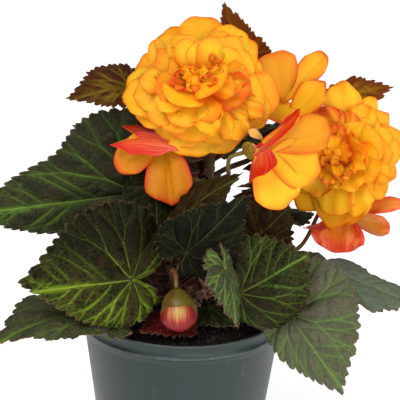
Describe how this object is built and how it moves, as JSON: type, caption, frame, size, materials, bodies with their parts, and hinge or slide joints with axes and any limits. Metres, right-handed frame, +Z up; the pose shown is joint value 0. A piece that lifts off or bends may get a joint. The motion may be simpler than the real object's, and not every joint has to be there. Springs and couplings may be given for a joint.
{
  "type": "potted tuberous begonia",
  "caption": "Flowering tuberous begonia with orange double blooms and bronze leaves in a round plastic pot.",
  "frame": {"origin": "middle of the flat underside of the pot", "axes": "+Z up, -Y towards the side that shows the flowers, +X to the right seen from that side"},
  "size_m": [0.2607, 0.2053, 0.2968],
  "materials": {
    "pot_plastic": "satin",
    "peat": "matte",
    "stem": "satin",
    "leaf": "satin",
    "young_leaf": "satin",
    "tepal": "satin",
    "ovary": "satin",
    "bud": "satin"
  },
  "bodies": {
    "root": {"bud": "bud", "bud_cap": "ovary", "flower_double_left": "tepal", "flower_double_right": "tepal", "flower_single_left": "tepal", "flower_single_low": "tepal", "flower_single_right": "tepal", "flower_single_top": "tepal", "leaf_back_left": "leaf", "leaf_back_left_low": "leaf", "leaf_back_low": "leaf", "leaf_back_right": "leaf", "leaf_back_upper": "leaf", "leaf_back_upper_left": "leaf", "leaf_back_upper_right": "leaf", "leaf_by_bud": "leaf", "leaf_folded": "leaf", "leaf_inner": "leaf", "leaf_left_large": "leaf", "leaf_left_low": "leaf", "leaf_left_rim": "leaf", "leaf_middle": "leaf", "leaf_on_soil": "leaf", "leaf_right_far": "leaf", "leaf_right_front": "leaf", "leaf_right_hanging": "leaf", "leaf_right_small": "leaf", "leaf_shaded": "leaf", "leaf_top": "young_leaf", "leaf_upper_left": "young_leaf", "leaf_upper_right": "young_leaf", "leaf_upright": "leaf", "ovary_left": "ovary", "ovary_low": "ovary", "ovary_right": "ovary", "ovary_top": "ovary", "pot": "pot_plastic", "soil": "peat", "stem_back": "stem", "stem_front": "stem", "stem_right": "stem"}
  },
  "joints": []
}
